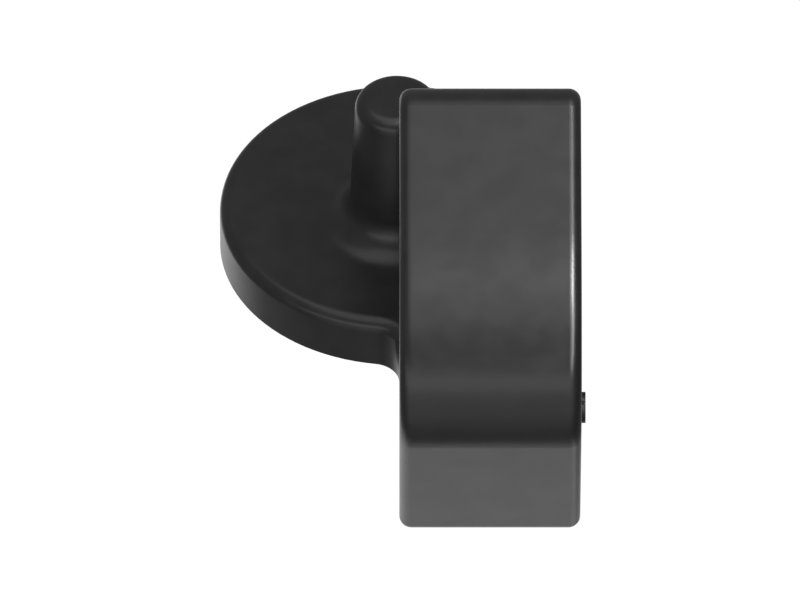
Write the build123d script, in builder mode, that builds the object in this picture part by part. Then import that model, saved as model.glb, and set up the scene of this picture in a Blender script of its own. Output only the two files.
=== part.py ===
"""Seat back latch: a moulded cover over a sprung hook that catches a striker bar.

All sizes are in millimetres. The origin is the centre of the round plate's lower face, on the
latch's mounting plane. Z points up along the post, X runs along the hook's spindle and the
large rounded face of the block looks towards -Y.
"""

import os
from math import acos, asin, atan2, cos, degrees, hypot, pi, radians, sin, tan

from build123d import *

os.makedirs("parts", exist_ok=True)

# Round plate of the cover
plate_radius = 35.9
plate_height = 11.0
plate_edge_radius = 2.4
flare_radius = 5.5

# Tapered post of the cover, a little ahead of the plate's centre and to the left of it
post_ahead = 4.3
post_aside = 0.5
post_base_radius = 9.6
post_top_radius = 8.2
post_height = 32.2
post_flare_radius = 6.4
post_edge_radius = 2.8

# Block of the cover, as a side profile in Y and Z
block_width = 36.0
block_post_gap = 2.3
nose_ahead = 13.7
nose_angle = 43.0
nose_height = 39.1
shoulder_radius = 46.8
nose_radius = 20.1
top_slope = 16.0
front_lean = 22.0
drop_depth = 18.4
drop_behind = 25.5
top_rear_radius = 7.0
block_edge_radius = 2.4
bottom_edge_radius = 2.8

# Walls and fits
wall = 2.5
cover_gap = 0.3
running_gap = 0.05
seat_gap = 0.02
face_gap = 0.2
cut_length = 80.0

# Spindle, hook and striker
spindle_reach = 61.3
spindle_height = 12.3
spindle_radius = 4.0
spindle_end_radius = 3.1
spindle_end_out = 0.9
spindle_hole_gap = 0.25
spindle_collar_radius = 6.0
spindle_collar_width = 2.0
spindle_flat = 3.2
spindle_inset = 1.9
driver_slot_width = 0.9
driver_slot_depth = 1.3
driver_slot_tilt = -60.0
striker_diameter = 8.0
striker_behind = 8.0
striker_below = 14.3
mouth_width = 11.0
hook_share = 3.0
hook_hub_radius = 8.5
hook_boss_radius = 5.5
hook_nose_width = 3.5
hook_tip_width = 1.2
hook_grip_gap = 0.4
hook_tip_angle = 11.0
hook_arm_angle = 20.0
hook_heel_radius = 11.2
hook_heel_angle = 26.0
spring_peg_radius = 1.2
spring_peg_distance = 11.0
spring_peg_length = 2.5

# Side plates, pillars and their fasteners
cheek_thickness = 2.5
cheek_side_gap = 4.0
cheek_gap = 1.5
cheek_height = 44.0
foot_height = 2.5
foot_inset = 2.7
foot_gap = 0.5
foot_spacing = 0.8
pillar_radius = 3.2
pillar_screw_radius = 1.5
pillar_screw_depth = 6.0
screw_head_radius = 2.8
screw_head_height = 2.0
socket_flats = 2.0
socket_depth = 1.2
stop_distance = 12.5
stop_angle = 115.0
stop_sleeve_wall = 0.8
stop_gap = 0.1
top_pillar_behind = 10.0
top_pillar_height = 35.0
rear_pillar_ahead = 9.5
rear_pillar_height = 32.0

# Bushes, spacer, clip and seal on the spindle
bush_wall = 1.5
bush_flange_radius = 7.0
bush_flange_width = 1.0
clip_width = 0.8
clip_depth = 0.8
clip_radius = 7.0
seal_radius = 5.2
seal_width = 1.4

# Torsion spring on the hook's boss
spring_room_wires = 4.5
spring_inner_gap = 0.5
spring_coil_gap = 0.2
spring_extra_turns = 3
spring_leg = 9.0
spring_arcs = 10
path_samples = 400

# Release arm and the bracket that holds the cable's sheath
arm_thickness = 2.5
arm_length = 25.0
arm_hub_radius = 6.5
arm_end_radius = 4.0
arm_eye_radius = 1.6
arm_angle = 8.0
bracket_thickness = 2.0
bracket_height = 37.0
bracket_depth = 10.0
bracket_hole_radius = 3.0
bracket_tab_width = 6.0

# Base plate and what stands on it
base_thickness = 3.0
cheek_screw_radius = 1.5
cheek_screw_head_radius = 3.0
cheek_screw_margin = 3.0
nut_height = 2.4
nut_flats = 5.5
core_radius = 5.4
core_flange_radius = 9.0
core_flange_height = 3.0
core_height = 28.0
core_bore_radius = 3.4
fixing_count = 3
fixing_inset = 12.0
fixing_first_angle = 0.0
fixing_bore_radius = 2.5
fixing_nut_radius = 4.5
fixing_nut_collar_radius = 5.5
fixing_nut_collar = 2.5
cover_screw_inset = 7.5
cover_screw_angles = (30.0, 100.0, 180.0, 265.0)
cover_boss_radius = 3.6
cover_screw_radius = 1.5
cover_screw_head_radius = 2.9
cover_screw_bite = 5.5

# Rubber pieces
buffer_width = 3.6
buffer_length = 6.0
buffer_gap = 0.3
buffer_height = 4.3
buffer_past = 1.0
buffer_peg_radius = 1.1
buffer_peg_above = 3.1
grommet_above_nose = 6.9
grommet_bore_radius = 2.75
grommet_wall = 1.75
grommet_lip = 1.3
grommet_lip_width = 1.2

# Snap lugs of the rear cover
lug_height = 4.0
lug_width = 4.0
lug_reach = 1.4
lug_drop = 10.0
ear_thickness = 1.8
ear_margin = 1.0


# Places worked out from the driving sizes
mid_x = block_width / 2
spindle_y = -spindle_reach
spindle_z = spindle_height
nose_y = spindle_y - nose_ahead
grommet_height = nose_height + grommet_above_nose
post_x = -post_aside
post_y = -post_ahead
block_rear_y = post_y - post_base_radius - block_post_gap
block_bottom_z = -drop_depth
drop_rear_y = spindle_y + drop_behind
drop_inner_y = drop_rear_y - wall
base_front_y = drop_rear_y + cover_gap
roof_z = plate_height - wall
striker_y = spindle_y + striker_behind
striker_z = spindle_z - striker_below
striker_radius = striker_diameter / 2
striker_arm = hypot(striker_behind, striker_below)
striker_angle = -degrees(atan2(striker_below, striker_behind))
cheek_left_x = wall + cheek_side_gap
cheek_inner_x = cheek_left_x + cheek_thickness
cheek_outer_x = block_width - wall - cheek_side_gap
cheek_right_x = cheek_outer_x - cheek_thickness
cheek_inner_width = cheek_right_x - cheek_inner_x
hook_thickness = cheek_inner_width / hook_share
hook_left_x = mid_x - hook_thickness / 2
hook_right_x = mid_x + hook_thickness / 2
spring_room = cheek_right_x - bush_flange_width - hook_right_x
spring_wire = spring_room / spring_room_wires
hook_boss_width = spring_room - face_gap
arm_left_x = cheek_inner_x + bush_flange_width + face_gap
arm_right_x = arm_left_x + arm_thickness
foot_rear_y = block_rear_y - wall - foot_gap
foot_front_y = base_front_y + foot_inset
foot_top_z = base_thickness + foot_height
foot_reach = (cheek_inner_width - foot_spacing) / 2
foot_screw_y = (foot_rear_y + foot_front_y) / 2
foot_screw_pitch = foot_rear_y - foot_front_y - 2 * cheek_screw_margin
bush_bore_radius = spindle_radius + running_gap
bush_radius = bush_bore_radius + bush_wall
arm_end_y = spindle_y + arm_length * cos(radians(arm_angle))
arm_end_z = spindle_z + arm_length * sin(radians(arm_angle))
collar_x = cheek_outer_x + face_gap
spindle_start_x = wall + spindle_inset
clip_x = cheek_left_x - face_gap - clip_width
grommet_radius = grommet_bore_radius + grommet_wall
fixing_circle_radius = plate_radius - fixing_inset
cover_screw_circle_radius = plate_radius - cover_screw_inset
lug_y = drop_inner_y - lug_width
buffer_low_z = striker_z + striker_radius + buffer_gap
peg_z = buffer_low_z + buffer_peg_above
hook_inner = striker_arm + striker_radius + hook_grip_gap
hook_outer = hook_inner + hook_nose_width
arm_start = striker_angle + degrees(asin((striker_radius + hook_grip_gap) / striker_arm))
arm_end_angle = arm_start + hook_arm_angle
nose_start = striker_angle - hook_tip_angle
cam_z = spindle_z + (hook_inner + hook_tip_width) * sin(radians(nose_start))
peg_angle = arm_start + hook_arm_angle / 2
stop_reach = degrees(asin((pillar_radius + stop_sleeve_wall) / stop_distance))
heel_start = stop_angle + stop_reach + degrees(stop_gap / stop_distance)


def write(piece, name):
    """Label a finished piece and write it to its own file."""
    piece.part.label = name
    export_step(piece.part, f"parts/{name}.step")


def polar(centre_y, centre_z, radius, angle):
    """Point at a radius and an angle in degrees from a centre in the YZ plane."""
    return (centre_y + radius * cos(radians(angle)), centre_z + radius * sin(radians(angle)))


def disc(x, width, radius, y, z, mode=Mode.ADD):
    """Round slice across the latch, from x over a width, centred at y and z."""
    with BuildSketch(Plane.YZ.offset(x)) as face:
        with Locations((y, z)):
            Circle(radius)
    extrude(face.sketch, amount=width, mode=mode)


def column(x, y, z, radius, height, mode=Mode.ADD):
    """Upright cylinder on a point."""
    with Locations((x, y, z)):
        Cylinder(radius, height, align=(Align.CENTER, Align.CENTER, Align.MIN), mode=mode)


def slab(x, y, z, mode=Mode.ADD):
    """Box between two values on each axis."""
    with Locations((x[0], y[0], z[0])):
        Box(x[1] - x[0], y[1] - y[0], z[1] - z[0], align=(Align.MIN,) * 3, mode=mode)


def cut_sockets(plane, places):
    """Hexagon sockets sunk from a plane into the screw heads at some places on it."""
    with BuildSketch(plane) as sockets:
        with Locations(*places):
            RegularPolygon(socket_flats / 2, 6, major_radius=False)
    extrude(sockets.sketch, amount=-socket_depth, mode=Mode.SUBTRACT)


def block_profile():
    """Side profile of the block: nose, shoulder, sloping top, rear, drop and leaning front."""
    shoulder_y, shoulder_z = polar(nose_y, nose_height, shoulder_radius, -nose_angle)
    chin_y, chin_z = polar(nose_y, nose_height, nose_radius, -nose_angle)
    shoulder_end = polar(shoulder_y, shoulder_z, shoulder_radius, 90 + top_slope)
    chin_end = polar(chin_y, chin_z, nose_radius, 180 + front_lean)
    top_z = shoulder_end[1] + (block_rear_y - shoulder_end[0]) * tan(radians(top_slope))
    bottom_y = chin_end[0] + (chin_end[1] - block_bottom_z) * tan(radians(front_lean))
    with BuildSketch(mode=Mode.PRIVATE) as side:
        with BuildLine():
            CenterArc(
                (shoulder_y, shoulder_z), shoulder_radius, 90 + top_slope,
                90 - nose_angle - top_slope,
            )
            CenterArc(
                (chin_y, chin_z), nose_radius, 180 - nose_angle, nose_angle + front_lean
            )
            Polyline(
                chin_end,
                (bottom_y, block_bottom_z),
                (drop_rear_y, block_bottom_z),
                (drop_rear_y, 0),
                (block_rear_y, 0),
                (block_rear_y, top_z),
                shoulder_end,
            )
        make_face()
    return side.sketch_local


underside = Plane.XY.rotated((180, 0, 0))
stop_pillar = polar(spindle_y, spindle_z, stop_distance, stop_angle)
pillars = (
    stop_pillar,
    (spindle_y + top_pillar_behind, top_pillar_height),
    (block_rear_y - rear_pillar_ahead, rear_pillar_height),
)
cover_screw_places = [
    (cover_screw_circle_radius * cos(radians(a)), cover_screw_circle_radius * sin(radians(a)))
    for a in cover_screw_angles
]
foot_screw_places = [
    (x, foot_screw_y + side * foot_screw_pitch / 2)
    for x in (cheek_inner_x + foot_reach / 2 + face_gap, cheek_right_x - foot_reach / 2 - face_gap)
    for side in (-1, 1)
]


# Block of the cover, rounded on its own before it meets the plate
with BuildPart() as block:
    with BuildSketch(Plane.YZ):
        add(block_profile())
    extrude(amount=block_width)
    top_rear = block.edges().filter_by(Axis.X).sort_by(Axis.Z)[-1]
    fillet(top_rear, radius=top_rear_radius)
    bottom_front = block.edges().filter_by(Axis.X).group_by(Axis.Z)[0].sort_by(Axis.Y)[0]
    fillet(bottom_front, radius=bottom_edge_radius)
    fillet(block.faces().filter_by(Axis.X).edges(), radius=block_edge_radius)

# Cover: round plate with its flare, tapered post and block as one hollow moulding
with BuildPart() as cover:
    with BuildSketch() as plan:
        Circle(plate_radius)
        Rectangle(mid_x, -striker_y, align=(Align.MIN, Align.MAX))
        fillet(plan.vertices().sort_by_distance((0, -plate_radius))[0], radius=flare_radius)
    extrude(amount=plate_height)
    rim = cover.faces().sort_by(Axis.Z)[-1].edges().filter_by(GeomType.CIRCLE)
    fillet(rim, radius=plate_edge_radius)
    with Locations((post_x, post_y, plate_height)):
        Cone(
            post_base_radius,
            post_top_radius,
            post_height,
            align=(Align.CENTER, Align.CENTER, Align.MIN),
        )
    rings = cover.edges().filter_by(GeomType.CIRCLE)
    fillet(rings.sort_by(Axis.Z)[-1], radius=post_edge_radius)
    foot_centre = (post_x, post_y, plate_height)
    foot_ring = cover.edges().filter_by(GeomType.CIRCLE).sort_by_distance(foot_centre)[0]
    fillet(foot_ring, radius=post_flare_radius)
    add(block.part)

    with BuildSketch(Plane.YZ.offset(wall)) as hollow:
        add(block_profile())
        offset(amount=-wall)
        fillet(hollow.vertices().sort_by(Axis.Y)[-1], radius=top_rear_radius - wall)
    extrude(hollow.sketch, amount=block_width - 2 * wall, mode=Mode.SUBTRACT)
    column(0, 0, 0, plate_radius - wall, roof_z, Mode.SUBTRACT)
    with Locations((post_x, post_y, roof_z)):
        Cone(
            post_base_radius - wall,
            post_top_radius - wall,
            post_height,
            align=(Align.CENTER, Align.CENTER, Align.MIN),
            mode=Mode.SUBTRACT,
        )
    inner_x = (wall, block_width - wall)
    slab(inner_x, (drop_inner_y, block_rear_y), (0, roof_z), Mode.SUBTRACT)
    slab(inner_x, (drop_inner_y, drop_rear_y), (block_bottom_z, 0), Mode.SUBTRACT)
    slab(inner_x, (striker_y, drop_rear_y), (block_bottom_z, block_bottom_z + wall), Mode.SUBTRACT)

    disc(0, block_width, mouth_width / 2, striker_y, striker_z, Mode.SUBTRACT)
    slab(
        (0, block_width),
        (striker_y - mouth_width / 2, striker_y + mouth_width / 2),
        (block_bottom_z, striker_z),
        Mode.SUBTRACT,
    )
    disc(
        block_width - wall,
        wall,
        spindle_end_radius + spindle_hole_gap,
        spindle_y,
        spindle_z,
        Mode.SUBTRACT,
    )
    with BuildSketch(Plane.XZ.offset(-block_rear_y)) as inlet:
        with Locations((mid_x, grommet_height)):
            Circle(grommet_radius + seat_gap)
    extrude(inlet.sketch, amount=wall, mode=Mode.SUBTRACT)
    for side_x in (wall - lug_reach - face_gap, block_width - wall):
        slab(
            (side_x, side_x + lug_reach + face_gap),
            (lug_y - face_gap, lug_y + lug_width + face_gap),
            (-lug_drop - face_gap, lug_height - lug_drop + face_gap),
            Mode.SUBTRACT,
        )
    for x, y in cover_screw_places:
        column(x, y, base_thickness + face_gap, cover_boss_radius, roof_z - base_thickness)
        column(x, y, base_thickness, cover_screw_radius + seat_gap, cover_screw_bite, Mode.SUBTRACT)
write(cover, "cover")

# Rear cover: closes the drop behind the mouth and snaps in with a lug on each side
with BuildPart() as rear_cover:
    rear_x = (wall + cover_gap, block_width - wall - cover_gap)
    slab(rear_x, (drop_inner_y, drop_rear_y), (block_bottom_z, base_thickness - face_gap))
    slab(
        rear_x,
        (striker_y + mouth_width / 2, drop_rear_y),
        (block_bottom_z, block_bottom_z + wall),
    )
    for x in (rear_x[0], rear_x[1] - ear_thickness):
        slab((x, x + ear_thickness), (lug_y - ear_margin, drop_inner_y), (block_bottom_z, 0))
    for x in (wall - lug_reach, rear_x[1]):
        slab(
            (x, x + lug_reach + cover_gap),
            (lug_y, lug_y + lug_width),
            (-lug_drop, lug_height - lug_drop),
        )
write(rear_cover, "rear_cover")

# Base plate: flat steel plate that carries the side plates, the core and the fixing nuts
with BuildPart() as base_plate:
    with BuildSketch():
        Circle(plate_radius - wall - cover_gap)
        with Locations((-cover_gap - face_gap, base_front_y)):
            Rectangle(cut_length, cut_length, align=(Align.MIN, Align.MAX), mode=Mode.SUBTRACT)
        with Locations((wall + cover_gap, base_front_y)):
            Rectangle(
                block_width - 2 * (wall + cover_gap),
                block_rear_y - cover_gap - base_front_y,
                align=(Align.MIN, Align.MIN),
            )
        with Locations((post_x, post_y)):
            Circle(core_radius + seat_gap, mode=Mode.SUBTRACT)
        with PolarLocations(fixing_circle_radius, fixing_count, start_angle=fixing_first_angle):
            Circle(fixing_nut_radius + seat_gap, mode=Mode.SUBTRACT)
    extrude(amount=base_thickness)
    for x, y in foot_screw_places:
        with Locations(Location((x, y, 0), (180, 0, 0))):
            CounterSinkHole(
                cheek_screw_radius + seat_gap, cheek_screw_head_radius + seat_gap, base_thickness
            )
    for x, y in cover_screw_places:
        with Locations(Location((x, y, 0), (180, 0, 0))):
            CounterSinkHole(
                cover_screw_radius + seat_gap, cover_screw_head_radius + seat_gap, base_thickness
            )
write(base_plate, "base_plate")


def make_cheek(x, foot_x):
    """One side plate: outline set in from the block's profile, with a bent foot."""
    with BuildPart() as cheek:
        with BuildSketch(Plane.YZ.offset(x)) as outline:
            add(block_profile())
            offset(amount=-wall - cheek_gap)
            with Locations((drop_inner_y - cheek_gap, base_thickness)):
                Rectangle(
                    cut_length, cut_length, align=(Align.MIN, Align.MAX), mode=Mode.SUBTRACT
                )
            with Locations((nose_y, cheek_height)):
                Rectangle(
                    cut_length, cut_length, align=(Align.MIN, Align.MIN), mode=Mode.SUBTRACT
                )
            with Locations((striker_y, striker_z)):
                Circle(mouth_width / 2, mode=Mode.SUBTRACT)
                Rectangle(
                    mouth_width, cut_length, align=(Align.CENTER, Align.MAX), mode=Mode.SUBTRACT
                )
            with Locations((spindle_y, spindle_z)):
                Circle(bush_radius + seat_gap, mode=Mode.SUBTRACT)
            with Locations(*pillars):
                Circle(pillar_screw_radius + face_gap, mode=Mode.SUBTRACT)
            with Locations((arm_end_y, bracket_height + bracket_thickness / 2)):
                Rectangle(
                    bracket_tab_width + 2 * seat_gap,
                    bracket_thickness + 2 * seat_gap,
                    mode=Mode.SUBTRACT,
                )
        extrude(outline.sketch, amount=cheek_thickness)
        slab(foot_x, (foot_front_y, foot_rear_y), (base_thickness, foot_top_z))
        for hole_x, hole_y in foot_screw_places:
            column(
                hole_x,
                hole_y,
                base_thickness,
                cheek_screw_radius + seat_gap,
                foot_height,
                Mode.SUBTRACT,
            )
    return cheek


# Side plates: the left one also holds the buffer's peg
cheek_left = make_cheek(cheek_left_x, (cheek_left_x, cheek_inner_x + foot_reach))
with cheek_left:
    disc(
        cheek_left_x,
        cheek_thickness,
        buffer_peg_radius + seat_gap,
        striker_y + buffer_past,
        peg_z,
        Mode.SUBTRACT,
    )
write(cheek_left, "side_plate_left")
cheek_right = make_cheek(cheek_right_x, (cheek_right_x - foot_reach, cheek_outer_x))
write(cheek_right, "side_plate_right")

# Countersunk screws and nuts that hold the side plates' feet
with BuildPart() as foot_screws:
    for x, y in foot_screw_places:
        with Locations((x, y, 0)):
            Cone(
                cheek_screw_head_radius,
                cheek_screw_radius,
                cheek_screw_head_radius - cheek_screw_radius,
                align=(Align.CENTER, Align.CENTER, Align.MIN),
            )
        column(x, y, 0, cheek_screw_radius, foot_top_z + nut_height)
    cut_sockets(underside, [(x, -y) for x, y in foot_screw_places])
write(foot_screws, "foot_screws")

with BuildPart() as foot_nuts:
    with BuildSketch(Plane.XY.offset(foot_top_z)):
        with Locations(*foot_screw_places):
            RegularPolygon(nut_flats / 2, 6, major_radius=False)
            Circle(cheek_screw_radius + seat_gap, mode=Mode.SUBTRACT)
    extrude(amount=nut_height)
write(foot_nuts, "foot_nuts")

# Screws that hold the cover down on the base plate
with BuildPart() as cover_screws:
    for x, y in cover_screw_places:
        with Locations((x, y, 0)):
            Cone(
                cover_screw_head_radius,
                cover_screw_radius,
                cover_screw_head_radius - cover_screw_radius,
                align=(Align.CENTER, Align.CENTER, Align.MIN),
            )
        column(x, y, 0, cover_screw_radius, base_thickness + cover_screw_bite - face_gap)
    cut_sockets(underside, [(x, -y) for x, y in cover_screw_places])
write(cover_screws, "cover_screws")

# Core inside the post and the fixing nuts in the base plate
with BuildPart() as post_core:
    column(post_x, post_y, 0, core_radius, core_height)
    column(post_x, post_y, base_thickness, core_flange_radius, core_flange_height)
    column(post_x, post_y, 0, core_bore_radius, core_height, Mode.SUBTRACT)
write(post_core, "post_core")

with BuildPart() as fixing_nuts:
    with PolarLocations(fixing_circle_radius, fixing_count, start_angle=fixing_first_angle):
        Cylinder(
            fixing_nut_radius, base_thickness, align=(Align.CENTER, Align.CENTER, Align.MIN)
        )
    with BuildSketch(Plane.XY.offset(base_thickness)):
        with PolarLocations(fixing_circle_radius, fixing_count, start_angle=fixing_first_angle):
            Circle(fixing_nut_collar_radius)
    extrude(amount=fixing_nut_collar)
    with BuildSketch():
        with PolarLocations(fixing_circle_radius, fixing_count, start_angle=fixing_first_angle):
            Circle(fixing_bore_radius)
    extrude(amount=base_thickness + fixing_nut_collar, mode=Mode.SUBTRACT)
write(fixing_nuts, "fixing_nuts")

# Pillars between the side plates and the screws at both of their ends
with BuildPart() as spacer_pillars:
    for y, z in pillars:
        disc(cheek_inner_x, cheek_inner_width, pillar_radius, y, z)
        for x in (cheek_inner_x, cheek_right_x - pillar_screw_depth):
            disc(x, pillar_screw_depth, pillar_screw_radius + seat_gap, y, z, Mode.SUBTRACT)
write(spacer_pillars, "spacer_pillars")

with BuildPart() as pillar_screws:
    for y, z in pillars:
        for x, head_x in (
            (cheek_left_x, cheek_left_x - screw_head_height),
            (cheek_right_x - pillar_screw_depth + face_gap, cheek_outer_x),
        ):
            shank = cheek_thickness + pillar_screw_depth - face_gap
            disc(x, shank, pillar_screw_radius, y, z)
            disc(head_x, screw_head_height, screw_head_radius, y, z)
    cut_sockets(Plane.YZ.offset(cheek_outer_x + screw_head_height), pillars)
    cut_sockets(-Plane.YZ.offset(cheek_left_x - screw_head_height), [(z, y) for y, z in pillars])
write(pillar_screws, "pillar_screws")

# Rubber sleeve that the hook's heel rests against
with BuildPart() as hook_stop:
    disc(hook_left_x, hook_thickness, pillar_radius + stop_sleeve_wall, *stop_pillar)
    disc(hook_left_x, hook_thickness, pillar_radius + seat_gap, *stop_pillar, Mode.SUBTRACT)
write(hook_stop, "hook_stop")


def sector(inner, outer, start, end):
    """Ring sector about the spindle, between two radii and two angles."""
    with BuildSketch(mode=Mode.PRIVATE) as ring:
        with BuildLine():
            low_inner = polar(spindle_y, spindle_z, inner, start)
            low_outer = polar(spindle_y, spindle_z, outer, start)
            high_inner = polar(spindle_y, spindle_z, inner, end)
            high_outer = polar(spindle_y, spindle_z, outer, end)
            Line(low_inner, low_outer)
            CenterArc((spindle_y, spindle_z), outer, start, end - start)
            Line(high_outer, high_inner)
            CenterArc((spindle_y, spindle_z), inner, start, end - start)
        make_face()
    return ring.sketch_local


# Hook: hub, arm behind the striker, nose under it with a flat cam, heel against the stop
with BuildPart() as latch_hook:
    with BuildSketch(Plane.YZ.offset(hook_left_x)):
        with Locations((spindle_y, spindle_z)):
            Circle(hook_hub_radius)
        add(sector(hook_hub_radius / 2, hook_outer, arm_start, arm_end_angle))
        add(sector(hook_inner, hook_outer, nose_start, arm_end_angle))
        add(sector(hook_hub_radius / 2, hook_heel_radius, heel_start, heel_start + hook_heel_angle))
    extrude(amount=hook_thickness)
    slab(
        (hook_left_x, hook_right_x),
        (nose_y, drop_rear_y),
        (cam_z - hook_nose_width, cam_z),
        Mode.SUBTRACT,
    )
    disc(hook_right_x, hook_boss_width, hook_boss_radius, spindle_y, spindle_z)
    disc(
        hook_right_x,
        spring_peg_length,
        spring_peg_radius,
        *polar(spindle_y, spindle_z, spring_peg_distance, peg_angle),
    )
    with BuildSketch(Plane.YZ.offset(hook_left_x)) as bore:
        with Locations((spindle_y, spindle_z)):
            Circle(spindle_radius + seat_gap)
        with Locations((spindle_y, spindle_z + spindle_flat + seat_gap)):
            Rectangle(
                2 * hook_hub_radius, hook_hub_radius, align=(Align.CENTER, Align.MIN),
                mode=Mode.SUBTRACT,
            )
    extrude(bore.sketch, amount=hook_thickness, mode=Mode.SUBTRACT)
    disc(
        hook_right_x, hook_boss_width, spindle_radius + seat_gap, spindle_y, spindle_z,
        Mode.SUBTRACT,
    )
write(latch_hook, "latch_hook")

# Spindle: flat-sided through the arm and hook, with a collar and a slotted end outside the cover
with BuildPart() as spindle:
    spindle_end_x = block_width + spindle_end_out
    disc(spindle_start_x, collar_x - spindle_start_x, spindle_radius, spindle_y, spindle_z)
    disc(collar_x, spindle_collar_width, spindle_collar_radius, spindle_y, spindle_z)
    disc(collar_x, spindle_end_x - collar_x, spindle_end_radius, spindle_y, spindle_z)
    slab(
        (spindle_start_x, hook_right_x),
        (spindle_y - spindle_radius, spindle_y + spindle_radius),
        (spindle_z + spindle_flat, spindle_z + spindle_radius),
        Mode.SUBTRACT,
    )
    with BuildSketch(Plane.YZ.offset(clip_x)) as groove:
        with Locations((spindle_y, spindle_z)):
            Circle(spindle_radius)
            Circle(spindle_radius - clip_depth, mode=Mode.SUBTRACT)
    extrude(groove.sketch, amount=clip_width, mode=Mode.SUBTRACT)
    with Locations(
        Location((spindle_end_x - driver_slot_depth, spindle_y, spindle_z), (driver_slot_tilt, 0, 0))
    ):
        Box(
            driver_slot_depth,
            2 * spindle_radius,
            driver_slot_width,
            align=(Align.MIN, Align.CENTER, Align.CENTER),
            mode=Mode.SUBTRACT,
        )
write(spindle, "release_spindle")

# Clip in the spindle's groove
with BuildPart() as spindle_clip:
    with BuildSketch(Plane.YZ.offset(clip_x + seat_gap)):
        with Locations((spindle_y, spindle_z)):
            Circle(clip_radius)
            Circle(spindle_radius - clip_depth + seat_gap, mode=Mode.SUBTRACT)
            Rectangle(
                2 * (spindle_radius - clip_depth),
                clip_radius,
                align=(Align.CENTER, Align.MAX),
                mode=Mode.SUBTRACT,
            )
    extrude(amount=clip_width - 2 * seat_gap)
write(spindle_clip, "spindle_clip")

# Flanged bushes in the side plates
for name, body_x, flange_x in (
    ("spindle_bush_left", cheek_left_x, cheek_inner_x),
    ("spindle_bush_right", cheek_right_x, cheek_right_x - bush_flange_width),
):
    with BuildPart() as bush:
        disc(body_x, cheek_thickness, bush_radius, spindle_y, spindle_z)
        disc(flange_x, bush_flange_width, bush_flange_radius, spindle_y, spindle_z)
        low_x = min(body_x, flange_x)
        disc(
            low_x,
            cheek_thickness + bush_flange_width,
            bush_bore_radius,
            spindle_y,
            spindle_z,
            Mode.SUBTRACT,
        )
    write(bush, name)

# Spacer ring between the release arm and the hook
with BuildPart() as spindle_spacer:
    spacer_x = arm_right_x + seat_gap
    spacer_width = hook_left_x - seat_gap - spacer_x
    disc(spacer_x, spacer_width, hook_boss_radius, spindle_y, spindle_z)
    disc(spacer_x, spacer_width, spindle_radius + seat_gap, spindle_y, spindle_z, Mode.SUBTRACT)
write(spindle_spacer, "spindle_spacer")

# Rubber seal round the spindle behind the cover's wall
with BuildPart() as spindle_seal:
    seal_x = block_width - wall - face_gap - seal_width
    disc(seal_x, seal_width, seal_radius, spindle_y, spindle_z)
    disc(
        seal_x, seal_width, spindle_end_radius + running_gap, spindle_y, spindle_z, Mode.SUBTRACT
    )
write(spindle_seal, "spindle_seal")

# Release arm: turns the spindle when the cable pulls its end up
with BuildPart() as release_arm:
    with BuildSketch(Plane.YZ.offset(arm_left_x)):
        with Locations((spindle_y, spindle_z)):
            Circle(arm_hub_radius)
        with Locations((arm_end_y, arm_end_z)):
            Circle(arm_end_radius)
        make_hull()
        with Locations((spindle_y, spindle_z)):
            Circle(spindle_radius + seat_gap, mode=Mode.SUBTRACT)
        with Locations((spindle_y, spindle_z + spindle_flat + seat_gap)):
            Rectangle(2 * spindle_radius, spindle_radius, align=(Align.CENTER, Align.MIN))
        with Locations((arm_end_y, arm_end_z)):
            Circle(arm_eye_radius, mode=Mode.SUBTRACT)
    extrude(amount=arm_thickness)
write(release_arm, "release_arm")

# Bracket for the cable's sheath, tabbed into both side plates
with BuildPart() as cable_bracket:
    eye_x = (arm_left_x + arm_right_x) / 2
    slab(
        (cheek_inner_x + seat_gap, cheek_right_x - seat_gap),
        (arm_end_y - bracket_depth / 2, arm_end_y + bracket_depth / 2),
        (bracket_height, bracket_height + bracket_thickness),
    )
    slab(
        (cheek_left_x, cheek_outer_x),
        (arm_end_y - bracket_tab_width / 2, arm_end_y + bracket_tab_width / 2),
        (bracket_height, bracket_height + bracket_thickness),
    )
    column(
        cheek_inner_x + bracket_depth / 2,
        arm_end_y,
        bracket_height,
        bracket_hole_radius,
        bracket_thickness,
        Mode.SUBTRACT,
    )
write(cable_bracket, "cable_bracket")

# Rubber buffer above the striker, pegged into the left side plate
with BuildPart() as striker_buffer:
    buffer_x = (cheek_inner_x + seat_gap, cheek_inner_x + buffer_width)
    buffer_y = striker_y + buffer_past
    slab(
        buffer_x,
        (buffer_y - buffer_length / 2, buffer_y + buffer_length / 2),
        (buffer_low_z, buffer_low_z + buffer_height),
    )
    disc(
        cheek_left_x,
        cheek_thickness + buffer_width / 2,
        buffer_peg_radius,
        buffer_y,
        peg_z,
    )
write(striker_buffer, "striker_buffer")

# Grommet where the release cable enters through the block's rear wall
with BuildPart() as cable_grommet:
    lip_radius = grommet_radius + grommet_lip
    for y, radius, width in (
        (block_rear_y, grommet_radius, wall),
        (block_rear_y + grommet_lip_width, lip_radius, grommet_lip_width),
        (block_rear_y - wall, lip_radius, grommet_lip_width),
    ):
        with BuildSketch(Plane.XZ.offset(-y)) as ring:
            with Locations((mid_x, grommet_height)):
                Circle(radius)
        extrude(ring.sketch, amount=width)
    with BuildSketch(Plane.XZ.offset(-block_rear_y - grommet_lip_width)) as opening:
        with Locations((mid_x, grommet_height)):
            Circle(grommet_bore_radius)
    extrude(opening.sketch, amount=wall + 2 * grommet_lip_width, mode=Mode.SUBTRACT)
write(cable_grommet, "cable_grommet")

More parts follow.
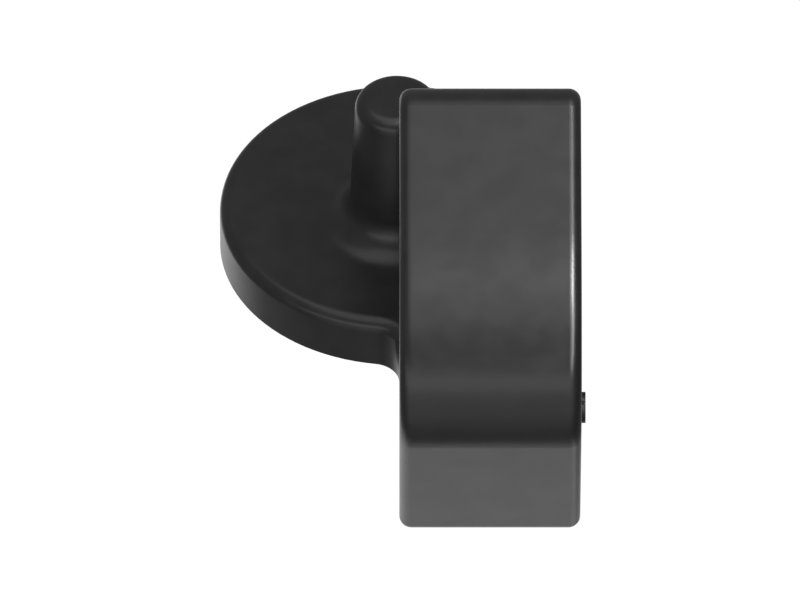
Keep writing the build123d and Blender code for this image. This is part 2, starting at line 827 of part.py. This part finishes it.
# Torsion spring round the hook's boss: one leg bears on the hook's peg, the other on the stop
# pillar, with arcs through points on a helix in between
spring_radius = hook_boss_radius + spring_inner_gap + spring_wire / 2
spring_pitch = spring_wire + spring_coil_gap
spring_climb = spring_pitch / (2 * pi * spring_radius)
spring_x = hook_right_x + face_gap + spring_wire / 2 + spring_leg * spring_climb
leg_reach = spring_radius + spring_wire / 2 + seat_gap
spring_start = peg_angle - degrees(acos((leg_reach + spring_peg_radius) / spring_peg_distance))
spring_end = stop_angle + degrees(acos((leg_reach + pillar_radius) / stop_distance))
arc_angle = (spring_start - spring_end + 360 * spring_extra_turns) / spring_arcs


def helix_point(arc):
    """Point of the spring's centre line after a number of its arcs."""
    y, z = polar(spindle_y, spindle_z, spring_radius, spring_start - arc_angle * arc)
    return Vector(spring_x + spring_pitch * arc_angle * arc / 360, y, z)


with BuildPart() as hook_spring:
    with BuildLine() as coil:
        start_angle = radians(spring_start)
        first = Vector(spring_climb, sin(start_angle), -cos(start_angle)).normalized()
        leg_end = helix_point(0) - first * spring_leg
        Line(leg_end, helix_point(0))
        heading = first
        for arc in range(spring_arcs):
            turn = TangentArc(helix_point(arc), helix_point(arc + 1), tangent=heading)
            heading = turn % 1
        Line(helix_point(spring_arcs), helix_point(spring_arcs) + heading * spring_leg)
    with BuildSketch(Plane(leg_end, z_dir=first)):
        Circle(spring_wire / 2)
    sweep(path=coil.wires()[0])
write(hook_spring, "hook_spring")

# The spring's coils must stay apart from each other
spring_path = coil.wires()[0]
samples = [spring_path @ (i / path_samples) for i in range(path_samples + 1)]
apart = round(path_samples * pi * spring_radius / spring_path.length)
least_gap = min(
    (samples[i] - samples[j]).length for i in range(path_samples + 1) for j in range(i - apart)
)
print("hook_spring least gap to itself", round(least_gap - spring_wire, 3))
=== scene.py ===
"""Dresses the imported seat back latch: finishes for its parts, threads, lamps, floor and camera.

Everything is in metres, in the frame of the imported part: Z up along the post, X along the
spindle of the hook, and the large rounded face of the block towards -Y.
"""

import logging
from dataclasses import dataclass
from enum import Enum
from typing import ClassVar

import bpy
import numpy as np
from mathutils import Matrix, Vector


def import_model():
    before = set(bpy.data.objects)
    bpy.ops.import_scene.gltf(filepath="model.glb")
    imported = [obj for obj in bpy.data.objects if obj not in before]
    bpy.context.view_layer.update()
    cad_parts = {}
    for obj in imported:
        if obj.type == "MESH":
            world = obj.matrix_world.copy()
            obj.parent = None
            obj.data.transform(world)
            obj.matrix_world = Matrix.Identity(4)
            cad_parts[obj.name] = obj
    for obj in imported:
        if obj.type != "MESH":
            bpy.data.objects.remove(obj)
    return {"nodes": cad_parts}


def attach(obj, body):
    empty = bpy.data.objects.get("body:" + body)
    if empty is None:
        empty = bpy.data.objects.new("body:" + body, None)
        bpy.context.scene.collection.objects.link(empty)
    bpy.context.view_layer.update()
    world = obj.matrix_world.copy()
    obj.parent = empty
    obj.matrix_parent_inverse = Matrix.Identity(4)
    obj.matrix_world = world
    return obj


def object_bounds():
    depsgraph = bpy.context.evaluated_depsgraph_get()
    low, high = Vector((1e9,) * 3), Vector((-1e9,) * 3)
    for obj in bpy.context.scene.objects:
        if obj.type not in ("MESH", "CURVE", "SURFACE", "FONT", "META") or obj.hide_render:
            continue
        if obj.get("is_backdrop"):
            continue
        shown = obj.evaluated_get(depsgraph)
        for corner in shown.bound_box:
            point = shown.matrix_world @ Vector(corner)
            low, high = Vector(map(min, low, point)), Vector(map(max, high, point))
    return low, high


Triple = tuple[float, float, float]
Finishes = dict[str, bpy.types.Material]
Nodes = dict[str, bpy.types.Object]

# A point on the spindle's axis, and the middle of the block.
SPINDLE: Triple = (0.018, -0.0613, 0.0123)
BLOCK: Triple = (0.018, -0.045, 0.03)

# Most of a noise texture's output lies in the first range. Two colours blend over the second.
NOISE_RANGE = (0.3, 0.7)
TINT_RANGE = (0.35, 0.65)

log = logging.getLogger("seat_back_latch")


class Axis(Enum):
    """Direction along which a metal surface was rolled, drawn or turned."""

    X = (1.0, 0.0, 0.0)
    Y = (0.0, 1.0, 0.0)
    Z = (0.0, 0.0, 1.0)


class Work(Enum):
    """How a metal surface was made, which sets its fine pattern."""

    ROLLED = "rolled"
    TURNED = "turned"


class NodeTree:
    """A material and short ways to add and join its nodes."""

    def __init__(self, name: str) -> None:
        """Makes an empty node material.

        Args:
            name: The material's name.
        """
        self.material = bpy.data.materials.new(name)
        self.material.use_nodes = True
        self.tree = self.material.node_tree
        self.tree.nodes.clear()
        self.output = self.tree.nodes.new("ShaderNodeOutputMaterial")

    def add(self, kind: str, **settings: object) -> bpy.types.Node:
        """Adds a node.

        Args:
            kind: The node's type name after ShaderNode.
            **settings: Properties, or values for inputs of that name with _ for a space.

        Returns:
            The new node.
        """
        node = self.tree.nodes.new("ShaderNode" + kind)
        for key, value in settings.items():
            if hasattr(node, key):
                setattr(node, key, value)
            else:
                node.inputs[key.replace("_", " ")].default_value = value
        return node

    def join(self, source: bpy.types.NodeSocket, target: bpy.types.NodeSocket) -> None:
        """Links an output to an input."""
        self.tree.links.new(source, target)

    def object_point(self) -> bpy.types.NodeSocket:
        """Returns the point on the surface in the part's own frame."""
        return self.add("TexCoord").outputs["Object"]

    def noise(
        self, size: float, detail: float = 2.0, stretch: Triple = (1.0, 1.0, 1.0)
    ) -> bpy.types.NodeSocket:
        """Adds soft noise.

        Args:
            size: Length of one blotch in metres.
            detail: How many finer layers ride on it.
            stretch: How often the pattern repeats along X, Y and Z compared with size.

        Returns:
            The noise's value, about 0.5 in the middle.
        """
        mapping = self.add("Mapping")
        mapping.inputs["Scale"].default_value = stretch
        self.join(self.object_point(), mapping.inputs["Vector"])
        texture = self.add("TexNoise", Scale=1.0 / size, Detail=detail)
        self.join(mapping.outputs["Vector"], texture.inputs["Vector"])
        return texture.outputs["Fac"]

    def spread(
        self, value: bpy.types.NodeSocket, low: float, high: float
    ) -> bpy.types.NodeSocket:
        """Maps a noise value onto a range, along an S-shaped curve.

        Args:
            value: The noise's output.
            low: Result where the noise is at the low end of its usual range.
            high: Result where it is at the high end.

        Returns:
            The mapped value.
        """
        start, end = NOISE_RANGE
        node = self.add("MapRange", From_Min=start, From_Max=end, To_Min=low, To_Max=high)
        node.interpolation_type = "SMOOTHERSTEP"
        self.join(value, node.inputs["Value"])
        return node.outputs["Result"]

    def tint(
        self, value: bpy.types.NodeSocket, dark: Triple, light: Triple
    ) -> bpy.types.NodeSocket:
        """Blends two colours by a noise value.

        Args:
            value: The noise's output.
            dark: Colour where it is low.
            light: Colour where it is high.

        Returns:
            The blended colour.
        """
        ramp = self.add("ValToRGB")
        ramp.color_ramp.interpolation = "EASE"
        ends = zip(ramp.color_ramp.elements, TINT_RANGE, (dark, light))
        for end, position, colour in ends:
            end.position = position
            end.color = (*colour, 1.0)
        self.join(value, ramp.inputs["Fac"])
        return ramp.outputs["Color"]

    def bump(
        self,
        height: bpy.types.NodeSocket,
        depth: float,
        strength: float,
        under: bpy.types.NodeSocket | None = None,
    ) -> bpy.types.NodeSocket:
        """Turns a height into a surface normal.

        Args:
            height: Height from 0 to 1.
            depth: Metres that a height of 1 stands for.
            strength: How much of it shows, up to 1.
            under: Normal of a bump below this one.

        Returns:
            The normal.
        """
        node = self.add("Bump", Strength=strength, Distance=depth)
        self.join(height, node.inputs["Height"])
        if under is not None:
            self.join(under, node.inputs["Normal"])
        return node.outputs["Normal"]

    def finish(self, shader: bpy.types.Node) -> bpy.types.Material:
        """Joins the last shader to the output.

        Args:
            shader: The shader of the surface.

        Returns:
            The finished material.
        """
        self.join(shader.outputs[0], self.output.inputs["Surface"])
        return self.material


@dataclass(frozen=True)
class MouldedPlastic:
    """Injection moulded plastic with a fine eroded grain.

    The surface is a flat colour with faint cloudy mottling. Its roughness follows the same
    clouds. A fine noise stands for the grain of the mould, and a slow one below it, which is
    swell times as broad as a cloud and as deep as the grain, for its polish.
    """

    name: str
    colour: Triple
    roughness: float = 0.31
    roughness_swing: float = 0.015
    specular: float = 0.5
    mottling: float = 0.08
    cloud: float = 0.006
    grain: float = 0.00022
    grain_depth: float = 0.000012
    grain_strength: float = 0.35
    swell: float = 2.0
    swell_strength: float = 0.25

    def material(self) -> bpy.types.Material:
        """Returns the finish as a material."""
        nodes = NodeTree(self.name)
        clouds = nodes.noise(self.cloud, detail=3.0)
        dark = tuple(c * (1.0 - self.mottling) for c in self.colour)
        light = tuple(c * (1.0 + self.mottling) for c in self.colour)
        grain = nodes.noise(self.grain, detail=2.0)
        slow = nodes.noise(self.cloud * self.swell, detail=1.0)
        polish = nodes.bump(slow, self.grain_depth * self.swell, self.swell_strength)
        surface = nodes.add("BsdfPrincipled", Specular_IOR_Level=self.specular)
        nodes.join(nodes.tint(clouds, dark, light), surface.inputs["Base Color"])
        smooth = self.roughness - self.roughness_swing
        rough = self.roughness + self.roughness_swing
        nodes.join(nodes.spread(clouds, smooth, rough), surface.inputs["Roughness"])
        normal = nodes.bump(grain, self.grain_depth, self.grain_strength, under=polish)
        nodes.join(normal, surface.inputs["Normal"])
        return nodes.finish(surface)


@dataclass(frozen=True)
class WorkedSteel:
    """Bare, plated or blackened steel with the marks of rolling or turning.

    Rolled steel has noise drawn out along its axis. Turned steel has fine rings, whose
    distance from the axis is the radius in the plane across it. Slow blotches take the
    colour down to its dark share, and move the roughness down and up.
    """

    name: str
    colour: Triple
    work: Work
    axis: Axis
    centre: Triple = (0.0, 0.0, 0.0)
    roughness: float = 0.34
    smoother: float = 0.06
    rougher: float = 0.08
    mark: float = 0.0003
    mark_depth: float = 0.000006
    mark_strength: float = 0.5
    drawn_out: float = 0.06
    ring_scale: float = 0.16
    ring_wobble: float = 1.2
    blotch: float = 0.004
    dark_share: float = 0.84

    def material(self) -> bpy.types.Material:
        """Returns the finish as a material."""
        nodes = NodeTree(self.name)
        marks = self.rings(nodes) if self.work is Work.TURNED else self.streaks(nodes)
        blotches = nodes.noise(self.blotch, detail=3.0)
        dark = tuple(c * self.dark_share for c in self.colour)
        surface = nodes.add("BsdfPrincipled", Metallic=1.0)
        nodes.join(nodes.tint(blotches, dark, self.colour), surface.inputs["Base Color"])
        smooth, rough = self.roughness - self.smoother, self.roughness + self.rougher
        nodes.join(nodes.spread(blotches, smooth, rough), surface.inputs["Roughness"])
        normal = nodes.bump(marks, self.mark_depth, self.mark_strength)
        nodes.join(normal, surface.inputs["Normal"])
        return nodes.finish(surface)

    def streaks(self, nodes: NodeTree) -> bpy.types.NodeSocket:
        """Adds rolled streaks.

        Args:
            nodes: The material being made.

        Returns:
            Noise that repeats much less often along the axis than across it.
        """
        stretch = tuple(self.drawn_out if along else 1.0 for along in self.axis.value)
        return nodes.noise(self.mark, detail=2.0, stretch=stretch)

    def rings(self, nodes: NodeTree) -> bpy.types.NodeSocket:
        """Adds turned rings, about two marks apart.

        Args:
            nodes: The material being made.

        Returns:
            A height that rises and falls with the distance from the axis.
        """
        mapping = nodes.add("Mapping")
        mapping.inputs["Location"].default_value = tuple(-c for c in self.centre)
        nodes.join(nodes.object_point(), mapping.inputs["Vector"])
        wave = nodes.add(
            "TexWave",
            wave_type="RINGS",
            rings_direction=self.axis.name,
            Scale=self.ring_scale / self.mark,
            Distortion=self.ring_wobble,
            Detail=2.0,
        )
        nodes.join(mapping.outputs["Vector"], wave.inputs["Vector"])
        return wave.outputs["Fac"]


@dataclass(frozen=True)
class SoftRubber:
    """Dull black rubber with a fine grain and a dusty bloom in cloudy patches."""

    name: str
    colour: Triple
    roughness: float = 0.72
    roughness_swing: float = 0.08
    specular: float = 0.35
    bloom: float = 0.002
    bloom_share: float = 1.7
    grain: float = 0.00015
    grain_depth: float = 0.00001
    grain_strength: float = 0.4

    def material(self) -> bpy.types.Material:
        """Returns the finish as a material."""
        nodes = NodeTree(self.name)
        bloom = nodes.noise(self.bloom, detail=4.0)
        light = tuple(c * self.bloom_share for c in self.colour)
        surface = nodes.add("BsdfPrincipled", Specular_IOR_Level=self.specular)
        nodes.join(nodes.tint(bloom, self.colour, light), surface.inputs["Base Color"])
        smooth = self.roughness - self.roughness_swing
        rough = self.roughness + self.roughness_swing
        nodes.join(nodes.spread(bloom, smooth, rough), surface.inputs["Roughness"])
        normal = nodes.bump(nodes.noise(self.grain), self.grain_depth, self.grain_strength)
        nodes.join(normal, surface.inputs["Normal"])
        return nodes.finish(surface)


@dataclass
class GridSurface:
    """A surface made of a rectangular grid of points, put into a mesh as whole arrays."""

    name: str
    points: np.ndarray
    closed_columns: bool = False

    def faces(self) -> np.ndarray:
        """Corner numbers of the grid's quads.

        Row r and column c of a grid that is n columns wide is point r * n + c, and each quad
        joins it with its next neighbours. The last column's neighbour is the first column
        where the columns are closed.

        Returns:
            An array with four point numbers for each quad.
        """
        rows, columns = self.points.shape[:2]
        r = np.arange(rows - 1)[:, None]
        c = np.arange(columns if self.closed_columns else columns - 1)[None, :]
        below, right = r + 1, (c + 1) % columns
        corners = (
            r * columns + c,
            r * columns + right,
            below * columns + right,
            below * columns + c,
        )
        return np.stack(np.broadcast_arrays(*corners), axis=-1).reshape(-1, 4)

    def build(self) -> bpy.types.Object:
        """Makes the smooth-shaded object and links it to the scene.

        Returns:
            The new object, at the origin.
        """
        mesh = bpy.data.meshes.new(self.name)
        mesh.from_pydata(self.points.reshape(-1, 3).tolist(), [], self.faces().tolist())
        mesh.polygons.foreach_set("use_smooth", np.ones(len(mesh.polygons), dtype=bool))
        mesh.update()
        piece = bpy.data.objects.new(self.name, mesh)
        bpy.context.collection.objects.link(piece)
        return piece


@dataclass
class InnerThread:
    """The helical ridge of a thread inside a bore that runs up along Z."""

    name: str
    foot: Triple
    bore_radius: float
    length: float
    pitch: float
    depth: float
    clear_turns: float = 0.75
    fade_angle: float = np.pi
    ridge_slope: float = 1.25
    ridge_base: float = 0.12
    wall_overlap: float = 0.00002
    steps_per_turn: int = 48
    profile_points: int = 9

    def build(self) -> bpy.types.Object:
        """Makes the ridge, which stays clear_turns turns away from both ends of the bore.

        The point at turn angle a and profile place s, from 0 to 1, lies at the radius
        bore_radius - depth * w * fade + wall_overlap * (1 - w) and at the height
        foot + pitch * (a / 2 pi + s - 0.5 + clear_turns). The ridge's profile w is a
        triangle over s, ridge_slope high and lowered by ridge_base, which is cut off below
        0 and above 1. The fade grows from 0 to 1 over the fade angle at both ends. So the
        two long edges lie in the wall, by the overlap.

        Returns:
            The ridge as an object.
        """
        turns = self.length / self.pitch - 2.0 * self.clear_turns
        steps = int(turns * self.steps_per_turn)
        angle = np.linspace(0.0, 2.0 * np.pi * turns, steps)[:, None]
        s = np.linspace(0.0, 1.0, self.profile_points)[None, :]
        triangle = 1.0 - np.abs(2.0 * s - 1.0)
        ridge = np.clip(self.ridge_slope * triangle - self.ridge_base, 0.0, 1.0)
        fade = np.clip(np.minimum(angle, angle[-1] - angle) / self.fade_angle, 0.0, 1.0)
        radius = self.bore_radius - self.depth * ridge * fade + self.wall_overlap * (1.0 - ridge)
        x = self.foot[0] + radius * np.cos(angle)
        y = self.foot[1] + radius * np.sin(angle)
        z = self.foot[2] + self.pitch * (angle / (2.0 * np.pi) + s - 0.5 + self.clear_turns)
        return GridSurface(self.name, np.stack((x, y, z), axis=-1)).build()


@dataclass
class BodyPieces:
    """The pieces that ride on one body, with the finish that each of its CAD nodes wears."""

    body: str
    wears: ClassVar[dict[str, str]] = {}

    def dress(self, finishes: Finishes, nodes: Nodes) -> None:
        """Gives the body's CAD pieces their finishes, in every material slot.

        Args:
            finishes: Material of each finish by name.
            nodes: CAD objects by node name.
        """
        for node, finish in self.wears.items():
            for slot in nodes[node].material_slots:
                slot.material = finishes[finish]
            log.info("%s: %s on body %s", node, finish, self.body)


@dataclass
class MovingHook(BodyPieces):
    """The pieces that turn together about the spindle."""

    body: str = "hook"
    wears: ClassVar[dict[str, str]] = {
        "latch_hook": "hardened_hook",
        "release_spindle": "blackened_spindle",
        "spindle_clip": "spring_wire",
        "spindle_spacer": "acetal",
        "release_arm": "zinc_sheet_side",
    }


@dataclass
class FixedFrame(BodyPieces):
    """The cover, the steel frame below it and what is fixed to them."""

    body: str = "frame"
    wears: ClassVar[dict[str, str]] = {
        "cover": "cover_plastic",
        "rear_cover": "rear_plastic",
        "base_plate": "zinc_sheet_flat",
        "side_plate_left": "zinc_sheet_side",
        "side_plate_right": "zinc_sheet_side",
        "foot_screws": "fastener",
        "foot_nuts": "fastener",
        "cover_screws": "fastener",
        "post_core": "turned_core",
        "fixing_nuts": "fastener",
        "spacer_pillars": "turned_pillar",
        "pillar_screws": "turned_pillar",
        "hook_stop": "rubber",
        "spindle_bush_left": "acetal",
        "spindle_bush_right": "acetal",
        "spindle_seal": "rubber",
        "cable_bracket": "zinc_sheet_flat",
        "striker_buffer": "rubber",
        "cable_grommet": "rubber",
        "hook_spring": "spring_wire",
    }
    core_foot: Triple = (-0.0005, -0.0043, 0.0)
    core_bore: float = 0.0034
    core_length: float = 0.028
    core_pitch: float = 0.00125
    nut_bore: float = 0.0025
    nut_length: float = 0.0055
    nut_pitch: float = 0.001
    nut_circle: float = 0.0239
    nut_count: int = 3
    thread_depth: float = 0.00035

    def threads(self, finishes: Finishes) -> None:
        """Builds the threads in the core and in the fixing nuts.

        The nuts stand on a circle round the Z axis, an equal angle apart from +X onwards.

        Args:
            finishes: Material of each finish by name.
        """
        core = InnerThread(
            "core_thread",
            self.core_foot,
            self.core_bore,
            self.core_length,
            self.core_pitch,
            self.thread_depth,
        )
        self.carry(core.build(), "machined_steel", finishes["turned_core"])
        for number in range(self.nut_count):
            angle = 2.0 * np.pi * number / self.nut_count
            place = (self.nut_circle * np.cos(angle), self.nut_circle * np.sin(angle), 0.0)
            nut = InnerThread(
                f"fixing_thread_{number + 1}",
                place,
                self.nut_bore,
                self.nut_length,
                self.nut_pitch,
                self.thread_depth,
            )
            self.carry(nut.build(), "fastener_steel", finishes["fastener"])

    def carry(
        self, piece: bpy.types.Object, slot: str, finish: bpy.types.Material
    ) -> None:
        """Fixes a new piece to the frame's body.

        Args:
            piece: The new piece.
            slot: The material slot that it belongs to. It is not used.
            finish: Its material.
        """
        piece.data.materials.append(finish)
        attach(piece, self.body)
        log.info("%s: %d faces on body %s", piece.name, len(piece.data.polygons), self.body)


@dataclass(frozen=True)
class Softbox:
    """A rectangular studio lamp that faces a point and stays out of the camera's sight.

    One that doesn't light is only seen in reflections, as a card that catches a lamp. One
    that doesn't shine gives soft light alone, as from a lamp behind thick cloth.
    """

    name: str
    centre: Triple
    aim: Triple
    width: float
    height: float
    radiance: float
    lights: bool = True
    shines: bool = True

    def build(self) -> bpy.types.Object:
        """Makes the lamp.

        Its power is pi times its area times its radiance, which is what a flat diffuse
        emitter of that brightness gives off.

        Returns:
            The lamp's object.
        """
        data = bpy.data.lights.new(self.name, "AREA")
        data.shape = "RECTANGLE"
        data.size = self.width
        data.size_y = self.height
        data.energy = np.pi * self.width * self.height * self.radiance
        lamp = bpy.data.objects.new(self.name, data)
        towards = Vector(self.aim) - Vector(self.centre)
        turn = towards.to_track_quat("-Z", "Y").to_matrix().to_4x4()
        lamp.matrix_world = Matrix.Translation(self.centre) @ turn
        lamp.visible_camera = False
        lamp.visible_diffuse = self.lights
        lamp.visible_glossy = self.shines
        bpy.context.collection.objects.link(lamp)
        return lamp


@dataclass
class Studio:
    """Pale floor, white surroundings, grey room, soft lamps and the photograph's camera.

    The floor's front and back edges are given by their ends in X, and its depth by the Y of
    both edges. The room's front and the camera's elevation are in degrees. The two strips
    at the right that don't light face straight across, so that their width runs along Y.
    """

    floor_height: float = -0.25
    floor_front: tuple[float, float] = (-0.2, 0.15)
    floor_back: tuple[float, float] = (-0.48, 0.15)
    floor_depth: tuple[float, float] = (-0.12, 0.6)
    floor_colour: Triple = (0.86, 0.86, 0.86)
    floor_glow: float = 1.08
    floor_share: float = 0.9
    sky_glow: float = 0.12
    sky_shown: float = 1.0
    room_radius: float = 2.5
    room_grid: tuple[int, int] = (24, 48)
    room_pole: float = 0.001
    room_front: float = 185.0
    room_stops: tuple[tuple[float, float], ...] = (
        (0.0, 0.22),
        (0.2, 0.2),
        (0.72, 0.12),
        (0.83, 0.2),
        (0.9, 0.4),
        (0.96, 0.65),
        (1.0, 0.7),
    )
    top: Softbox = Softbox("top_softbox", (0.018, -0.065, 0.62), BLOCK, 0.7, 0.7, 0.85)
    front: Softbox = Softbox("front_fill", (-0.35, -0.95, 0.25), BLOCK, 1.5, 0.32, 0.9)
    left: Softbox = Softbox(
        "left_fill", (-0.45, -0.55, 0.9), BLOCK, 1.2, 1.2, 2.6, shines=False
    )
    right_rear: Softbox = Softbox(
        "right_rear_strip", (0.33, 0.2, 0.73), BLOCK, 0.4, 0.2, 2.6
    )
    right: Softbox = Softbox(
        "right_strip", (0.36, -0.125, 0.7), (0.018, -0.125, 0.03), 0.36, 0.15, 46.0, lights=False
    )
    right_low: Softbox = Softbox(
        "right_low_strip", (0.36, -0.58, 0.5), (0.018, -0.58, 0.03), 0.75, 0.2, 10.0, lights=False
    )
    camera_distance: float = 5.0
    camera_clip: float = 20.0
    camera_sensor: float = 36.0
    camera_elevation: float = 43.0
    view_width: float = 0.16
    view_middle: Triple = (0.00014, -0.01334, -0.00331)

    def floor(self) -> None:
        """Lays the floor: a diffuse pale sheet that looks white to the camera.

        Its four corners are the ends of its front and back edges.

        Camera, glossy and transmission rays see mostly a white glow, mixed with the lit
        sheet itself, so that the object's shadow still shows. The sheet is clear from
        below, so that it doesn't hide the underside.
        """
        x = np.array((self.floor_front, self.floor_back))
        y = np.repeat(np.array(self.floor_depth)[:, None], 2, axis=1)
        points = np.stack((x, y, np.full_like(x, self.floor_height)), axis=-1)
        sheet = GridSurface("studio_floor", points).build()
        nodes = NodeTree("pale_floor")
        seen = self.seen_rays(nodes.tree)
        share = nodes.add("Math", operation="MULTIPLY")
        share.inputs[1].default_value = self.floor_share
        nodes.join(seen, share.inputs[0])
        diffuse = nodes.add("BsdfDiffuse", Color=(*self.floor_colour, 1.0))
        glow = nodes.add("Emission", Strength=self.floor_glow)
        mix = nodes.add("MixShader")
        nodes.join(share.outputs[0], mix.inputs[0])
        nodes.join(diffuse.outputs[0], mix.inputs[1])
        nodes.join(glow.outputs[0], mix.inputs[2])
        one_sided = nodes.add("MixShader")
        nodes.join(nodes.add("NewGeometry").outputs["Backfacing"], one_sided.inputs[0])
        nodes.join(mix.outputs[0], one_sided.inputs[1])
        nodes.join(nodes.add("BsdfTransparent").outputs[0], one_sided.inputs[2])
        sheet.data.materials.append(nodes.finish(one_sided))
        sheet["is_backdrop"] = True

    def seen_rays(self, tree: bpy.types.NodeTree) -> bpy.types.NodeSocket:
        """Adds a mask of the rays that show the background.

        Args:
            tree: Node tree of the floor's material or of the world.

        Returns:
            1 for camera, glossy and transmission rays, and 0 for the rest.
        """
        path = tree.nodes.new("ShaderNodeLightPath")
        mask = path.outputs["Is Camera Ray"]
        for other in ("Is Glossy Ray", "Is Transmission Ray"):
            either = tree.nodes.new("ShaderNodeMath")
            either.operation = "MAXIMUM"
            tree.links.new(mask, either.inputs[0])
            tree.links.new(path.outputs[other], either.inputs[1])
            mask = either.outputs[0]
        return mask

    def surroundings(self) -> None:
        """Sets a world that shows as white and lights the rest dimly."""
        world = bpy.data.worlds.new("studio_world")
        world.use_nodes = True
        tree = world.node_tree
        tree.nodes.clear()
        output = tree.nodes.new("ShaderNodeOutputWorld")
        mix = tree.nodes.new("ShaderNodeMixShader")
        tree.links.new(self.seen_rays(tree), mix.inputs[0])
        for socket, strength in ((mix.inputs[1], self.sky_glow), (mix.inputs[2], self.sky_shown)):
            glow = tree.nodes.new("ShaderNodeBackground")
            glow.inputs["Strength"].default_value = strength
            glow.inputs["Color"].default_value = (1.0, 1.0, 1.0, 1.0)
            tree.links.new(glow.outputs[0], socket)
        tree.links.new(mix.outputs[0], output.inputs["Surface"])
        bpy.context.scene.world = world

    def room(self) -> None:
        """Builds the grey room beyond the lamps, which only reflections and soft light meet.

        The point at polar angle p and turn angle a lies at the radius times
        (sin p cos a, sin p sin a, cos p). Its glow follows the stops, each a place and a
        strength: place 1 is the room's brightest side, in front of the latch and a little
        below it, and place 0 is the side opposite to it.
        """
        rows, columns = self.room_grid
        p = np.linspace(self.room_pole, np.pi - self.room_pole, rows)[:, None]
        a = np.linspace(0.0, 2.0 * np.pi, columns, endpoint=False)[None, :]
        x, y = np.sin(p) * np.cos(a), np.sin(p) * np.sin(a)
        unit = np.stack((x, y, np.cos(p) * np.ones_like(a)), axis=-1)
        shell = GridSurface("studio_room", self.room_radius * unit, closed_columns=True).build()
        nodes = NodeTree("grey_room")
        front = np.radians(self.room_front)
        towards = nodes.add("VectorMath", operation="DOT_PRODUCT")
        towards.inputs[1].default_value = (0.0, np.cos(front), np.sin(front))
        nodes.join(nodes.object_point(), towards.inputs[0])
        share = nodes.add("MapRange", From_Min=-self.room_radius, From_Max=self.room_radius)
        nodes.join(towards.outputs["Value"], share.inputs["Value"])
        ramp = nodes.add("ValToRGB")
        stops = ramp.color_ramp.elements
        while len(stops) < len(self.room_stops):
            stops.new(0.5)
        for stop, (position, strength) in zip(stops, self.room_stops):
            stop.position = position
            stop.color = (strength, strength, strength, 1.0)
        nodes.join(share.outputs["Result"], ramp.inputs["Fac"])
        glow = nodes.add("Emission", Strength=1.0)
        nodes.join(ramp.outputs["Color"], glow.inputs["Color"])
        shell.data.materials.append(nodes.finish(glow))
        shell.visible_camera = False
        shell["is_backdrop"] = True

    def lamps(self) -> None:
        """Hangs the lamps."""
        for lamp in (self.top, self.front, self.left, self.right_rear, self.right, self.right_low):
            lamp.build()

    def camera(self) -> None:
        """Places the camera at the photograph's angle and frame."""
        data = bpy.data.cameras.new("camera")
        data.sensor_width = self.camera_sensor
        data.lens = self.camera_sensor * self.camera_distance / self.view_width
        data.clip_end = self.camera_clip
        camera = bpy.data.objects.new("camera", data)
        tilt = np.radians(self.camera_elevation)
        back = Vector((0.0, -np.cos(tilt), np.sin(tilt)))
        camera.location = Vector(self.view_middle) + self.camera_distance * back
        camera.rotation_euler = (-back).to_track_quat("-Z", "Y").to_euler()
        bpy.context.collection.objects.link(camera)
        bpy.context.scene.camera = camera
        bpy.context.scene.view_settings.view_transform = "Standard"

    def build(self) -> None:
        """Builds the whole studio."""
        self.floor()
        self.surroundings()
        self.room()
        self.lamps()
        self.camera()


def make_finishes() -> Finishes:
    """Makes the material of each finish on the latch.

    Returns:
        The materials by name.
    """
    rolled, turned = Work.ROLLED, Work.TURNED
    finishes = (
        MouldedPlastic("cover_plastic", (0.0125, 0.0125, 0.0127)),
        MouldedPlastic("rear_plastic", (0.0135, 0.0135, 0.0137), roughness=0.38),
        MouldedPlastic("acetal", (0.62, 0.6, 0.55), roughness=0.42, mottling=0.03),
        WorkedSteel("zinc_sheet_flat", (0.5, 0.5, 0.51), rolled, Axis.Y),
        WorkedSteel("zinc_sheet_side", (0.48, 0.48, 0.49), rolled, Axis.Z),
        WorkedSteel("fastener", (0.42, 0.42, 0.43), rolled, Axis.Z, roughness=0.3),
        WorkedSteel("turned_core", (0.5, 0.5, 0.5), turned, Axis.Z),
        WorkedSteel("turned_pillar", (0.5, 0.5, 0.5), turned, Axis.X, SPINDLE),
        WorkedSteel("hardened_hook", (0.27, 0.27, 0.28), rolled, Axis.Y, roughness=0.3),
        WorkedSteel(
            "blackened_spindle",
            (0.052, 0.052, 0.053),
            turned,
            Axis.X,
            SPINDLE,
            roughness=0.45,
            mark_depth=0.000001,
        ),
        WorkedSteel("spring_wire", (0.3, 0.3, 0.31), rolled, Axis.X, roughness=0.28),
        SoftRubber("rubber", (0.012, 0.012, 0.012)),
    )
    return {finish.name: finish.material() for finish in finishes}


def corners(box: tuple[Vector, Vector]) -> list[list[float]]:
    """Returns a box's two corners as plain lists."""
    return [list(corner) for corner in box]


def main() -> None:
    """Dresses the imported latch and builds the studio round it."""
    logging.basicConfig(level=logging.INFO, format="%(message)s")
    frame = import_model()
    cad = corners(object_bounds())
    finishes = make_finishes()
    fixed = FixedFrame()
    fixed.dress(finishes, frame["nodes"])
    fixed.threads(finishes)
    MovingHook().dress(finishes, frame["nodes"])
    Studio().build()
    {"cad": cad, "visual": corners(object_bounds())}


if __name__ == "__main__":
    main()
